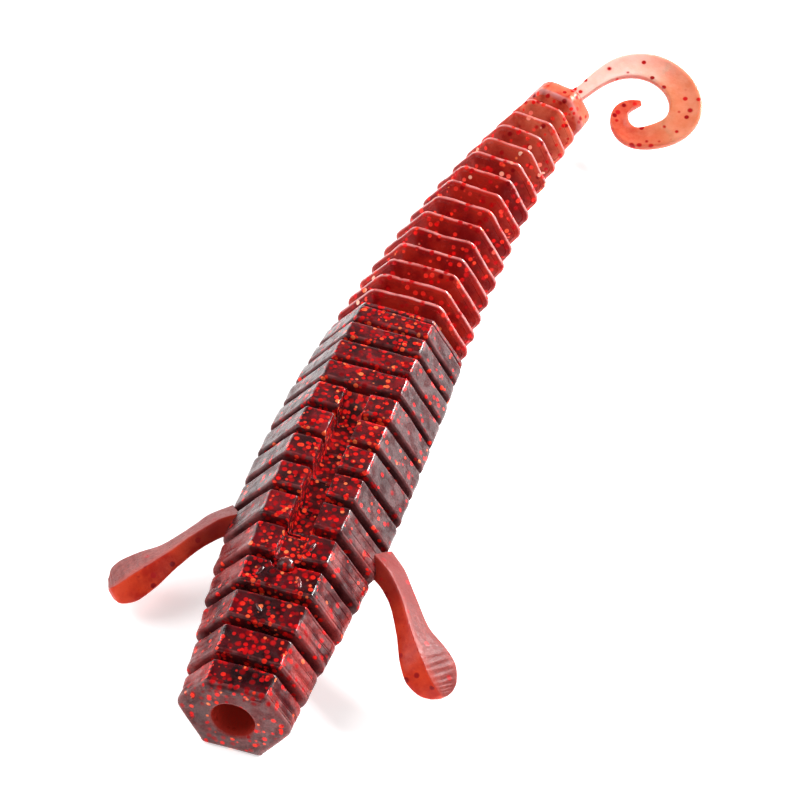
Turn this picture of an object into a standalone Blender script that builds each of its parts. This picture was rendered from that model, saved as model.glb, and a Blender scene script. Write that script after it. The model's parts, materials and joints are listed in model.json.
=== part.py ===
"""Soft plastic worm: a ribbed hexagonal body, a hook slot, two paddle legs and a curl tail.

The worm lies on its belly along +Y, nose towards -Y, belly on Z = 0. The origin is on the
belly under the widest rib. Lengths are written in millimetres and scaled once by MM.
"""

import math

import bmesh
import bpy
from mathutils import Matrix, Vector

MM = 0.001

# Spine: straight at the head, then a gentle bend towards +X that grows to the tail.
BODY_LENGTH = 79.7
BEND_START = 14.4
BEND_ANGLE = 0.223
SPINE_STEPS = 200
ORIGIN_RIB = 7

# Body section: a hexagon with flat back and belly, given by its width along the spine.
WIDTH_POINTS = [
    (0.0, 8.9),
    (4.5, 9.6),
    (16.8, 12.4),
    (26.7, 13.1),
    (39.0, 12.1),
    (59.2, 9.5),
    (79.7, 6.1),
]
HEIGHT_RATIO_NOSE = 0.69
HEIGHT_RATIO_WAIST = 0.733
HEIGHT_RATIO_TAIL = 0.80
WAIST = 39.0
CORNER_HEIGHT = 0.55

# Ribs of the front half.
RIB_COUNT = 13
RIB_PITCH = 3.03
RIB_PITCH_LOSS = 0.17
RIB_LAST_FULL_PITCH = 8
RIB_OFFSET = 1.5
RIB_SHARE = 0.80
RIB_GROOVE_DEPTH = 1.05
NOSE_LENGTH = 2.75

# Fins of the rear half.
FIN_COUNT = 14
FIRST_FIN = 42.3
FIN_PITCH_FIRST = 2.2
FIN_PITCH_FULL = 2.65
FIN_PITCH_STEPS = 5
FIN_THICKNESS = 0.55
FIN_GROOVE_DEPTH = 2.2
FIN_GROOVE_EASE = 0.45
CAP_CENTRE = 78.5
CAP_THICKNESS = 2.3

# Core clearance behind each rib: narrow inside a group, wide where the core bends.
CLEARANCE = 0.3
FLEX_CLEARANCE_RIB = 0.4
FLEX_CLEARANCE_FIN = 0.8

# Pieces that move together, each list with the piece whose flexing gap is their joint.
# The groups ahead of the slot swing on the gap behind them, the others on the gap ahead.
BENDING_GROUPS = [
    ("rib_02", ("nose_block", "rib_01", "rib_02")),
    ("rib_04", ("rib_03", "rib_04")),
    ("rib_10", ("rib_11", "rib_12")),
    ("rib_12", ("rib_13",)),
    ("rib_13", ("fin_01", "fin_02")),
    ("fin_02", ("fin_03", "fin_04")),
    ("fin_04", ("fin_05", "fin_06")),
    ("fin_06", ("fin_07", "fin_08")),
    ("fin_08", ("fin_09", "fin_10")),
    ("fin_10", ("fin_11", "fin_12")),
    ("fin_12", ("fin_13", "fin_14", "tail_cap")),
]

# Rounding: the long edges at the sides of the hexagon, then the rim edges of each piece.
CORNER_ROUND = 0.55
CORNER_FACETS = 3
OUTER_SHARE = 0.85
RIM_EDGE_ANGLE = math.radians(40.0)
EDGE_ROUND = 0.18
NOSE_ROUND = 0.4
SHARP_ANGLE = math.radians(35.0)
SMALL = 0.01
HEXAGON_TURN = math.radians(30.0)

# Bore in the nose, hook slot along the back and the shallow, round-ended recess ahead of it.
BORE_RADIUS = 1.62
BORE_DEPTH = 7.2
BORE_CORNERS = 24
CUTTER_EXTRA = 1.0
SLOT_RIBS = (5, 6, 7, 8, 9)
SLOT_WIDTH = 1.8
SLOT_DEPTH = 2.4
SLOT_CUTTER_LENGTH = 4.2
RECESS_RIBS = (3, 4)
RECESS_RADIUS = 1.05
RECESS_DEPTH = 0.7
RECESS_CORNERS = 16

# Legs, outwards from the body, as (x, distance from the nose, z, width, thickness):
# a flared root fixed to the body side, then the paddle that swings on its thin neck.
# They droop to the belly's level and do not lie quite alike.
LEG_ROOT_STATIONS = {
    "left": [
        (6.75, 17.1, 4.6, 4.4, 2.3),
        (7.4, 16.5, 4.4, 2.8, 2.1),
        (8.0, 15.6, 4.2, 2.0, 1.9),
    ],
    "right": [
        (6.75, 16.6, 4.6, 4.4, 2.3),
        (7.5, 16.0, 4.4, 2.8, 2.1),
        (8.2, 15.1, 4.2, 2.0, 1.9),
    ],
}
LEG_STATIONS = {
    "left": [
        (8.4, 15.1, 4.1, 1.8, 1.7),
        (9.6, 13.7, 3.5, 2.4, 1.8),
        (10.9, 12.6, 2.8, 3.3, 1.8),
        (12.1, 11.8, 2.1, 3.3, 1.7),
        (13.1, 11.3, 1.5, 2.0, 1.4),
    ],
    "right": [
        (8.6, 14.5, 4.1, 1.8, 1.7),
        (9.9, 12.6, 3.6, 2.4, 1.8),
        (11.4, 10.9, 3.0, 3.3, 1.8),
        (12.5, 10.0, 2.3, 3.4, 1.7),
        (13.3, 9.5, 1.7, 2.1, 1.4),
    ],
}
LEG_STEPS_PER_STATION = 2
LEG_CORNERS = 10

# Curl tail: centre line and width in the plane of the ribbon, from the cap outwards.
TAIL_LIFT = math.radians(20.0)
TAIL_THICKNESS = 0.7
TAIL_ROOT_HEIGHT = 2.6
TAIL_POINTS = [
    (0.2, 0.75, 1.6),
    (1.0, 2.2, 1.3),
    (1.7, 4.1, 1.6),
    (3.0, 6.1, 2.3),
    (5.3, 7.2, 2.8),
    (8.0, 6.7, 2.9),
    (10.0, 4.9, 3.0),
    (10.4, 2.5, 2.8),
    (9.0, 0.6, 2.5),
    (7.1, -0.2, 2.1),
    (5.6, 1.0, 1.7),
    (5.5, 2.3, 1.4),
    (6.6, 3.4, 0.5),
]
TAIL_PIECES = [
    ("tail_stem", 0.0, 3.0),
    ("tail_curl_outer", 3.0, 6.0),
    ("tail_curl_inner", 6.0, 9.0),
    ("tail_tip", 9.0, 12.0),
]
TAIL_STEPS_PER_POINT = 3
TAIL_CORNERS = 8
TAIL_GAP = 0.3

# Surfaces, as (colour, roughness).
SMOKE_RED = ((0.13, 0.02, 0.03), 0.18)
CLEAR_RED = ((0.45, 0.04, 0.03), 0.15)
LEG_RED = ((0.55, 0.08, 0.03), 0.25)
PEACH = ((0.80, 0.35, 0.20), 0.2)


# ---------------------------------------------------------------- spine and section

def smooth_value(points, at):
    """Catmull-Rom value through (place, value) points."""
    last = len(points) - 1
    index = 0
    while index < last - 1 and at > points[index + 1][0]:
        index += 1
    x0, y0 = points[index]
    x1, y1 = points[index + 1]
    before = points[max(index - 1, 0)]
    after = points[min(index + 2, last)]
    slope0 = (y1 - before[1]) / (x1 - before[0])
    slope1 = (after[1] - y0) / (after[0] - x0)
    span = x1 - x0
    t = (at - x0) / span
    value = y0 * (2 * t**3 - 3 * t**2 + 1) + y1 * (3 * t**2 - 2 * t**3)
    return value + span * (slope0 * (t**3 - 2 * t**2 + t) + slope1 * (t**3 - t**2))


def body_width(s):
    return smooth_value(WIDTH_POINTS, s)


def body_height(s):
    if s < WAIST:
        share = s / WAIST
        ratio = HEIGHT_RATIO_NOSE + share * (HEIGHT_RATIO_WAIST - HEIGHT_RATIO_NOSE)
    else:
        share = (s - WAIST) / (BODY_LENGTH - WAIST)
        ratio = HEIGHT_RATIO_WAIST + share * (HEIGHT_RATIO_TAIL - HEIGHT_RATIO_WAIST)
    return ratio * body_width(s)


def heading(s):
    """Angle of the spine away from +Y towards +X."""
    reach = max(0.0, s - BEND_START) / (BODY_LENGTH - BEND_START)
    return BEND_ANGLE * reach**2


def spine_raw(s):
    """Point of the spine on the belly plane, measured from the nose."""
    x = 0.0
    y = 0.0
    for step in range(SPINE_STEPS):
        angle = heading(s * (step + 0.5) / SPINE_STEPS)
        x += math.sin(angle) * s / SPINE_STEPS
        y += math.cos(angle) * s / SPINE_STEPS
    return Vector((x, y, 0.0))


def rib_pitch(index):
    return RIB_PITCH - RIB_PITCH_LOSS * max(0, index - RIB_LAST_FULL_PITCH)


def rib_place(index):
    return RIB_OFFSET + sum(rib_pitch(k) for k in range(index))


def fin_place(index):
    place = FIRST_FIN
    for k in range(index - 1):
        share = min(k, FIN_PITCH_STEPS) / FIN_PITCH_STEPS
        place += FIN_PITCH_FIRST + share * (FIN_PITCH_FULL - FIN_PITCH_FIRST)
    return place


ORIGIN_SHIFT = spine_raw(rib_place(ORIGIN_RIB))
ALONG_Y = Matrix.Rotation(math.radians(90.0), 4, "X")


def spine_matrix(s):
    """Frame on the spine: local +Y runs to the tail, local Z = 0 is the belly."""
    place = (spine_raw(s) - ORIGIN_SHIFT) * MM
    return Matrix.Translation(place) @ Matrix.Rotation(-heading(s), 4, "Z")


# ---------------------------------------------------------------- scene helpers

def clear_scene():
    for old in list(bpy.data.objects):
        bpy.data.objects.remove(old, do_unlink=True)


def new_collection(name):
    collection = bpy.data.collections.new(name)
    bpy.context.scene.collection.children.link(collection)
    return collection


def material(name, colour, roughness):
    made = bpy.data.materials.new(name)
    made.use_nodes = True
    shader = made.node_tree.nodes["Principled BSDF"]
    shader.inputs["Base Color"].default_value = (*colour, 1.0)
    shader.inputs["Roughness"].default_value = roughness
    shader.inputs["Metallic"].default_value = 0.0
    made.diffuse_color = (*colour, 1.0)
    return made


def add_object(name, bm, collection, surface=None):
    mesh = bpy.data.meshes.new(name)
    bmesh.ops.recalc_face_normals(bm, faces=bm.faces)
    bm.to_mesh(mesh)
    bm.free()
    made = bpy.data.objects.new(name, mesh)
    collection.objects.link(made)
    if surface is not None:
        mesh.materials.append(surface)
    mesh.shade_smooth()
    mesh.set_sharp_from_angle(angle=SHARP_ANGLE)
    return made


def add_bevel(target, width):
    bevel = target.modifiers.new("soft_edges", "BEVEL")
    bevel.width = width * MM
    bevel.segments = 1
    bevel.limit_method = "WEIGHT"


def cut(target, cutter):
    cutter.hide_render = True
    cutter.display_type = "WIRE"
    boolean = target.modifiers.new("cut_" + cutter.name, "BOOLEAN")
    boolean.operation = "DIFFERENCE"
    boolean.solver = "MANIFOLD"
    boolean.object = cutter


def scale_to_metres(bm):
    bmesh.ops.scale(bm, vec=Vector((MM, MM, MM)), verts=bm.verts)


def move_origin(target, point):
    """Put the object's origin at a point in metres and leave its shape where it is."""
    local = target.matrix_world.inverted() @ point
    target.data.transform(Matrix.Translation(-local))
    target.matrix_world = target.matrix_world @ Matrix.Translation(local)


# ---------------------------------------------------------------- body segments

def hexagon_prism(start, end, middle):
    """Hexagonal prism from start to end along Y, in the frame on the spine at middle."""
    bm = bmesh.new()
    bmesh.ops.create_cone(
        bm,
        cap_ends=True,
        segments=6,
        radius1=body_width(end) / 2,
        radius2=body_width(start) / 2,
        depth=end - start,
        matrix=ALONG_Y @ Matrix.Rotation(HEXAGON_TURN, 4, "Z"),
    )
    regular_height = math.sqrt(3.0)
    for vert in bm.verts:
        place = (start + end) / 2 + vert.co.y
        half_width = body_width(place) / 2
        height = body_height(place)
        level = 0.5 + vert.co.z / (half_width * regular_height)
        if abs(vert.co.z) < SMALL:
            level = CORNER_HEIGHT
        vert.co.y = place - middle
        vert.co.z = level * height
    return bm


def rear_face(bm):
    return max(bm.faces, key=lambda face: face.calc_center_median().y)


def round_lateral_corners(bm):
    """Round the two long edges at the widest points of the hexagon."""
    corners = []
    widest = max(abs(vert.co.x) for vert in bm.verts)
    for edge in bm.edges:
        first, second = edge.verts
        same_side = first.co.x * second.co.x > 0
        outer = min(abs(first.co.x), abs(second.co.x)) > OUTER_SHARE * widest
        if same_side and outer and abs(first.co.y - second.co.y) > SMALL:
            corners.append(edge)
    bmesh.ops.bevel(
        bm, geom=corners, offset=CORNER_ROUND, segments=CORNER_FACETS, affect="EDGES",
        profile=0.5,
    )


def add_neck(bm, depth, length):
    """Sink the rear face by the groove depth and draw the core out behind it."""
    face = rear_face(bm)
    bmesh.ops.inset_region(bm, faces=[face], thickness=depth, use_even_offset=True)
    drawn = bmesh.ops.extrude_face_region(bm, geom=[face])
    moved = [item for item in drawn["geom"] if isinstance(item, bmesh.types.BMVert)]
    bmesh.ops.translate(bm, verts=moved, vec=Vector((0.0, length, 0.0)))
    if face.is_valid:
        bmesh.ops.delete(bm, geom=[face], context="FACES_ONLY")


def mark_rim_edges(bm, rim_end):
    """Give the outer edges of the rim a bevel weight; the core keeps its plain edges."""
    weight = bm.edges.layers.float.new("bevel_weight_edge")
    bm.normal_update()
    for edge in bm.edges:
        on_rim = max(vert.co.y for vert in edge.verts) < rim_end + SMALL
        if on_rim and edge.is_convex and edge.calc_face_angle() > RIM_EDGE_ANGLE:
            edge[weight] = 1.0


def segment(name, start, end, groove, neck, surface, collection):
    """One rib or fin with its stretch of core behind it."""
    middle = (start + end) / 2
    bm = hexagon_prism(start, end, middle)
    if neck > 0.0:
        add_neck(bm, groove, neck)
    round_lateral_corners(bm)
    bmesh.ops.recalc_face_normals(bm, faces=bm.faces)
    mark_rim_edges(bm, end - middle)
    scale_to_metres(bm)
    made = add_object(name, bm, collection, surface)
    made.matrix_world = spine_matrix(middle)
    return made


def groove_depth(s):
    """Groove depth: shallow between ribs, deep between fins, easing off towards the cap."""
    if s < WAIST:
        return RIB_GROOVE_DEPTH
    eased = 1.0 - FIN_GROOVE_EASE * (1.0 - body_width(s) / body_width(WAIST))
    return FIN_GROOVE_DEPTH * eased


def rib_limits(index):
    half = RIB_SHARE * rib_pitch(index) / 2
    centre = rib_place(index)
    return centre - half, centre + half


def fin_limits(index):
    centre = fin_place(index)
    return centre - FIN_THICKNESS / 2, centre + FIN_THICKNESS / 2


def body_stretches():
    """Every piece of the body from the nose back, as (name, start, end, gap behind it)."""
    flexing = [name for name, group in BENDING_GROUPS]
    stretches = [("nose_block", 0.0, NOSE_LENGTH, CLEARANCE)]
    for index in range(1, RIB_COUNT + 1):
        name = f"rib_{index:02d}"
        wide = FLEX_CLEARANCE_FIN if index == RIB_COUNT else FLEX_CLEARANCE_RIB
        gap = wide if name in flexing else CLEARANCE
        stretches.append((name, *rib_limits(index), gap))
    for index in range(1, FIN_COUNT + 1):
        name = f"fin_{index:02d}"
        gap = FLEX_CLEARANCE_FIN if name in flexing else CLEARANCE
        stretches.append((name, *fin_limits(index), gap))
    cap_half = CAP_THICKNESS / 2
    stretches.append(("tail_cap", CAP_CENTRE - cap_half, CAP_CENTRE + cap_half, 0.0))
    return stretches


def bend_place(name):
    """Middle of the core gap behind the named piece, measured from the nose."""
    stretches = body_stretches()
    names = [stretch[0] for stretch in stretches]
    number = names.index(name)
    return stretches[number + 1][1] - stretches[number][3] / 2


def bend_point(name):
    """Point of the joint at that gap, at the middle of the section's height, in metres."""
    s = bend_place(name)
    return spine_matrix(s) @ Vector((0.0, 0.0, body_height(s) / 2 * MM))


def make_body(collection, cutters):
    smoke = material("smoke_red_gel", *SMOKE_RED)
    clear = material("clear_red_gel", *CLEAR_RED)
    stretches = body_stretches()
    made = {}
    for number, (name, start, end, gap) in enumerate(stretches):
        neck = 0.0
        if number + 1 < len(stretches):
            neck = stretches[number + 1][1] - end - gap
        surface = clear if start > WAIST else smoke
        made[name] = segment(name, start, end, groove_depth(end), neck, surface, collection)
        add_bevel(made[name], NOSE_ROUND if name == "nose_block" else EDGE_ROUND)
    cut_nose_bore(made, cutters)
    cut_hook_slot(made, cutters)
    cut_recess(made, cutters)
    for name, group in BENDING_GROUPS:
        for member in group:
            move_origin(made[member], bend_point(name))


def cut_nose_bore(made, cutters):
    """Blind bore from the nose face, at the height of the section's middle."""
    bm = bmesh.new()
    length = BORE_DEPTH + CUTTER_EXTRA
    bmesh.ops.create_cone(
        bm, cap_ends=True, segments=BORE_CORNERS, radius1=BORE_RADIUS, radius2=BORE_RADIUS,
        depth=length, matrix=ALONG_Y,
    )
    scale_to_metres(bm)
    bore = add_object("bore_cutter", bm, cutters)
    place = spine_raw(0.0) - ORIGIN_SHIFT
    place.y += BORE_DEPTH - length / 2
    place.z = body_height(0.0) / 2
    bore.location = place * MM
    for name in ("nose_block", "rib_01", "rib_02"):
        cut(made[name], bore)


def place_on_back(cutter, s):
    """Centre the cutter on the flat back of the body."""
    level = Matrix.Translation(Vector((0.0, 0.0, body_height(s))) * MM)
    cutter.matrix_world = spine_matrix(s) @ level


def box_cutter(name, s, length, depth, cutters):
    """Box of the slot's width that reaches a depth below the back at s."""
    bm = bmesh.new()
    bmesh.ops.create_cube(bm, size=1.0)
    size = Vector((SLOT_WIDTH, length, depth * 2))
    bmesh.ops.scale(bm, vec=size * MM, verts=bm.verts)
    cutter = add_object(name, bm, cutters)
    place_on_back(cutter, s)
    return cutter


def cut_hook_slot(made, cutters):
    """Slot along the back that hides the hook point."""
    for index in SLOT_RIBS:
        name = f"slot_cutter_{index:02d}"
        cutter = box_cutter(name, rib_place(index), SLOT_CUTTER_LENGTH, SLOT_DEPTH, cutters)
        cut(made[f"rib_{index:02d}"], cutter)


def cut_recess(made, cutters):
    """Shallow recess from the front of the slot to its round end between two ribs."""
    front, rear = RECESS_RIBS
    end = (rib_place(front) + rib_place(rear)) / 2
    bm = bmesh.new()
    bmesh.ops.create_cone(
        bm, cap_ends=True, segments=RECESS_CORNERS, radius1=RECESS_RADIUS,
        radius2=RECESS_RADIUS, depth=RECESS_DEPTH * 2,
    )
    scale_to_metres(bm)
    round_end = add_object("recess_end_cutter", bm, cutters)
    place_on_back(round_end, end)
    for index in RECESS_RIBS:
        cut(made[f"rib_{index:02d}"], round_end)
    length = rib_pitch(rear) + CUTTER_EXTRA
    middle = end + length / 2
    lead = box_cutter("recess_lead_cutter", middle, length, RECESS_DEPTH, cutters)
    cut(made[f"rib_{rear:02d}"], lead)


# ---------------------------------------------------------------- legs and tail

def loft(name, rings, collection, surface):
    """Closed solid through rings of points, with both ends capped."""
    bm = bmesh.new()
    loops = [[bm.verts.new(point) for point in ring] for ring in rings]
    count = len(rings[0])
    for near, far in zip(loops, loops[1:]):
        for k in range(count):
            bm.faces.new((near[k], near[(k + 1) % count], far[(k + 1) % count], far[k]))
    bm.faces.new(loops[0])
    bm.faces.new(loops[-1])
    return add_object(name, bm, collection, surface)


def oval(centre, across, up, width, thickness, corners):
    """Ring of points around centre: width along across, thickness along up."""
    ring = []
    for k in range(corners):
        angle = math.tau * (k + 0.5) / corners
        ring.append(
            centre
            + across * (math.cos(angle) * width / 2)
            + up * (math.sin(angle) * thickness / 2)
        )
    return ring


def smooth_points(points, steps):
    """Evenly stepped Catmull-Rom samples through points of any dimension."""
    places = list(range(len(points)))
    samples = []
    for step in range((len(points) - 1) * steps + 1):
        at = step / steps
        row = []
        for axis in range(len(points[0])):
            row.append(smooth_value([(k, points[k][axis]) for k in places], at))
        samples.append(row)
    return samples


def make_limb(name, stations, side, squared_root, collection, surface):
    """Leg piece through its stations; a squared root lies flat against the body side."""
    samples = smooth_points(stations, LEG_STEPS_PER_STATION)
    centres = []
    for x, s, z, width, thickness in samples:
        place = spine_raw(s) - ORIGIN_SHIFT
        centres.append(Vector((side * x, place.y, z)))
    root = centres[0].copy()
    rings = []
    for k, (x, s, z, width, thickness) in enumerate(samples):
        ahead = centres[min(k + 1, len(centres) - 1)]
        behind = centres[max(k - 1, 0)]
        along = (ahead - behind).normalized()
        if squared_root:
            turned = (k / (len(samples) - 1)) ** 2
            along = Vector((side, 0.0, 0.0)).lerp(along, turned)
        across = along.cross(Vector((0.0, 0.0, 1.0))).normalized()
        up = across.cross(along)
        ring = oval(centres[k], across, up, width, thickness, LEG_CORNERS)
        rings.append([(point - root) * MM for point in ring])
    made = loft(name, rings, collection, surface)
    made.location = root * MM
    return made


def tail_frame():
    """Plane of the curl: its origin is on the rear face of the cap, local Z is its normal."""
    rear = CAP_CENTRE + CAP_THICKNESS / 2
    height = Matrix.Translation(Vector((0.0, 0.0, TAIL_ROOT_HEIGHT)) * MM)
    return spine_matrix(rear) @ height @ Matrix.Rotation(TAIL_LIFT, 4, "X")


def ribbon_rings(first, last):
    """Sections of the ribbon between two places on its centre line, short of each end."""
    samples = smooth_points(TAIL_POINTS, TAIL_STEPS_PER_POINT)
    start = round(first * TAIL_STEPS_PER_POINT)
    end = round(last * TAIL_STEPS_PER_POINT)
    rings = []
    for k in range(start, end + 1):
        ahead = samples[min(k + 1, len(samples) - 1)]
        behind = samples[max(k - 1, 0)]
        along = Vector((ahead[0] - behind[0], ahead[1] - behind[1], 0.0)).normalized()
        across = along.cross(Vector((0.0, 0.0, 1.0)))
        centre = Vector((samples[k][0], samples[k][1], 0.0))
        if k == start:
            centre += along * TAIL_GAP / 2
        if k == end and last < len(TAIL_POINTS) - 1:
            centre -= along * TAIL_GAP / 2
        up = Vector((0.0, 0.0, 1.0))
        rings.append(oval(centre, across, up, samples[k][2], TAIL_THICKNESS, TAIL_CORNERS))
    return rings


def make_tail(collection, surface):
    frame = tail_frame()
    for name, first, last in TAIL_PIECES:
        rings = ribbon_rings(first, last)
        root = Vector()
        for point in rings[0]:
            root += point / len(rings[0])
        rings = [[(point - root) * MM for point in ring] for ring in rings]
        made = loft(name, rings, collection, surface)
        made.matrix_world = frame @ Matrix.Translation(root * MM)


def main():
    clear_scene()
    worm = new_collection("soft_plastic_worm")
    cutters = new_collection("cutters")
    make_body(worm, cutters)
    orange = material("leg_gel", *LEG_RED)
    for hand, side in (("left", -1.0), ("right", 1.0)):
        make_limb(f"leg_root_{hand}", LEG_ROOT_STATIONS[hand], side, True, worm, orange)
        make_limb(f"leg_{hand}", LEG_STATIONS[hand], side, False, worm, orange)
    make_tail(worm, material("tail_gel", *PEACH))


main()
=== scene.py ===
import json
import math

import bmesh
import bpy
import numpy as np
from mathutils import Euler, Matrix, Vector, noise


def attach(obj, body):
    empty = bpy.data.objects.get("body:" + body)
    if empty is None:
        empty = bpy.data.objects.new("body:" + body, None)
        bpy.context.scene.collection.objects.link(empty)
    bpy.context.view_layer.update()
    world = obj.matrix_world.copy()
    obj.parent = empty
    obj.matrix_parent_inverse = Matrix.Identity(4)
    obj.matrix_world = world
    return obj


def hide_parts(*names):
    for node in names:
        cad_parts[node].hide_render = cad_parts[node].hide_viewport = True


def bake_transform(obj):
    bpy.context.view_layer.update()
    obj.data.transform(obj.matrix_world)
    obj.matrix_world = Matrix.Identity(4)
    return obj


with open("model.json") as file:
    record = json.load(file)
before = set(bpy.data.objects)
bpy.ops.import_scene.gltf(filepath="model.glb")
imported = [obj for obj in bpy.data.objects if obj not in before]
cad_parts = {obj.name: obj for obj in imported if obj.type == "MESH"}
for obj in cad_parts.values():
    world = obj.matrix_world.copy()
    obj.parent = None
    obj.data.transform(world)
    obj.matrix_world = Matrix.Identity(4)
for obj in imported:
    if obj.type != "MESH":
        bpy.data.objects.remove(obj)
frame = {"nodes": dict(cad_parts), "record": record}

MM = 0.001

RIBS = [f"rib_{k:02d}" for k in range(1, 14)]
FINS = [f"fin_{k:02d}" for k in range(1, 15)]
BODY = ["nose_block"] + RIBS + FINS + ["tail_cap"]

# All lengths are in millimetres up to the studio, which is in metres.

# Section of the body: a hexagon with the proportions of the CAD and rounded corners. A corner
# grows tighter as the section moves inwards.
CORNER_HEIGHT = 0.55
TOP_SHARE = 0.25
LATERAL_ROUND = 0.95
LATERAL_ROUND_INSET = 2.5
LATERAL_ROUND_LEAST = 0.2
RIB_RIDGE_ROUND = 0.32
FIN_RIDGE_ROUND = 1.0
FIN_RIDGE_SHRINK = 0.4
RIDGE_STEPS = 5
LATERAL_STEPS = 6
SIDE_SHARES = (0.06, 0.35, 0.65, 0.94)

# Rounded edges and groove depths.
EDGE_STEPS = 3
SHARP_ANGLE = 40.0
RIB_EDGE = 0.2
# Share of the painted edge highlight on the rear edges.
REAR_EDGE_HIGHLIGHT = 0.25
FIN_EDGE = 0.1
FIN_BEVEL = 0.3
FIN_RIM = 0.3
FIN_FLOOR_SHARE = 0.5
FIN_SLOPE_STEPS = 5
NOSE_EDGE = 0.4
CAP_EDGE = 0.4
CAP_CORE = 1.2
RIB_GROOVE = 1.05
FIN_GROOVE = 2.2
FIN_GROOVE_EASE = 0.45

# How far a skin runs on inside the next one, and how much narrower than the core its end is.
EMBED = 0.12
EMBED_INSET = 0.05
CORE_INSET = 0.2

# Fine mould lines on the sides of the nose and the first ribs.
LINED = ("nose_block", "rib_01", "rib_02", "rib_03", "rib_04", "rib_05")
LINE_PLACES = (0.2, 0.35, 0.5, 0.65, 0.8)
LINE_DEPTH = 0.11
LINE_HALF_WIDTH = 0.07
LINE_SKEW = 0.45
LINE_SHIFT = 0.07

# Thin lip behind the last rib.
LIP_GAP = 0.16
LIP_LENGTH = 0.42
LIP_INSET = 0.1
LIP_EDGE = 0.08
LIP_GROOVE = 0.5

# Nose: its blind bore, and the rings on its flat face by how far they are from the outline.
BORE_RADIUS = 1.62
BORE_DEPTH = 7.2
BORE_EDGE = 0.18
BORE_END_ROUND = 0.3
BORE_CLEARANCE = 1.04
FACE_INSETS = (2.2, 1.3, 1.2 * NOSE_EDGE)
NOSE_BACK_INSET = 1.6

# Hook slot: how far ahead of its first rib it starts and behind its last rib it ends, and over
# what lengths it sinks and rises. The shares place the points of its section.
SLOT_FIRST = "rib_05"
SLOT_LAST = "rib_09"
SLOT_AHEAD = 0.9
SLOT_BEHIND = 0.2
SLOT_SINK = 1.6
SLOT_RISE = 1.2
SLOT_HALF_WIDTH = 0.95
SLOT_DEPTH = 2.2
SLOT_EDGE = 0.16
BESIDE_SHARES = (0.96, 0.84, 0.72, 0.6, 0.48, 0.36, 0.24, 0.12, 0.0)
FLOOR_SHARES = (0.8, 0.58, 0.37, 0.13)

# Recess from its round end between two ribs back to the slot, and the bubble in that end.
RECESS_FRONT = "rib_03"
RECESS_REAR = "rib_04"
RECESS_RADIUS = 1.05
RECESS_DEPTH = 0.7
RECESS_SHALLOW_HALF = 0.4
BUBBLE_SIZE = (0.68, 0.68, 0.52)
BUBBLE_DROP = 0.85
BEAD_RINGS = 14
BEAD_CORNERS = 24

# Small folds raised from the back near the recess: the rib, and both ends of the fold as
# (right, behind the rib's front face).
FOLD_HALF_WIDTH = 0.17
FOLD_HEIGHT = 0.13
FOLDS = [
    ("rib_03", (-1.35, 1.75), (-1.65, 0.75)),
    ("rib_03", (1.25, 1.6), (1.75, 0.5)),
    ("rib_04", (1.35, 0.6), (1.6, 1.7)),
    ("rib_02", (-0.9, 1.6), (-0.3, 0.9)),
]

# Spacing of the rings along a rib, finer around the recess.
DETAILED = ("rib_02", "rib_03", "rib_04")
DETAIL_STEP = 0.12
PLAIN_STEP = 0.3

# Unevenness of the moulded surface: how far it moves in and out (UNEVEN) and along the body
# (WAVE), and over what length.
UNEVEN = 0.07
UNEVEN_LENGTH = 1.1
WAVE = 0.14
WAVE_LENGTH = 3.2


# ---------------------------------------------------------------- reading the CAD

# A face counts as a front face if its normal has this much of -Y in it, and a point as part of
# the rim if it is this share of the half width away from the middle.
FACING_LEAST = 0.95
RIM_SHARE = 0.9


class Segment:
    """Place and size of one rib, fin or plug, read from its CAD solid, in millimetres."""

    def __init__(self, node):
        solid = frame["nodes"][node]
        mesh = solid.data
        points = np.array([tuple(v.co) for v in mesh.vertices]) / MM
        facing = np.zeros(3)
        for face in mesh.polygons:
            if face.normal.y < -FACING_LEAST:
                facing += np.array(face.normal) * face.area
        facing[2] = 0.0
        self.node = node
        self.along = -facing / np.linalg.norm(facing)
        self.across = np.array((self.along[1], -self.along[0], 0.0))
        along = points @ self.along
        across = points @ self.across
        middle = (across.max() + across.min()) / 2
        half = (across.max() - across.min()) / 2
        rim = np.abs(across - middle) > RIM_SHARE * half
        self.length = float(along[rim].max() - along[rim].min())
        self.front = self.along * along[rim].min() + self.across * middle
        self.width = float(2 * half)
        self.height = float(points[:, 2].max())

    def point(self, s, x, z):
        """Point s behind the front face, x to the right and z above the belly."""
        place = self.front + self.along * s + self.across * x
        return Vector((place[0], place[1], z))


SEGMENTS = {name: Segment(name) for name in BODY}
NEXT = {a: SEGMENTS[b] for a, b in zip(BODY, BODY[1:])}
SMOKY = ["nose_block"] + RIBS
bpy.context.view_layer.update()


def body_of(node):
    for body, nodes in frame["record"]["behaviour"]["bodies"].items():
        if node in nodes:
            return body
    raise KeyError(node)


# ---------------------------------------------------------------- sections of the body

def hexagon(width, height, inset):
    """Corners of the body section, every side moved inwards by inset."""
    level = CORNER_HEIGHT * height
    top = TOP_SHARE * width
    corners = [
        Vector((width / 2, level)),
        Vector((top, height)),
        Vector((-top, height)),
        Vector((-width / 2, level)),
        Vector((-top, 0.0)),
        Vector((top, 0.0)),
    ]
    moved = []
    for k in range(6):
        before, here, after = corners[k - 1], corners[k], corners[(k + 1) % 6]
        side_in = (here - before).normalized()
        side_out = (after - here).normalized()
        normal_in = Vector((-side_in.y, side_in.x))
        normal_out = Vector((-side_out.y, side_out.x))
        bisector = (normal_in + normal_out).normalized()
        moved.append(here + bisector * (inset / bisector.dot(normal_in)))
    return moved


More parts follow.
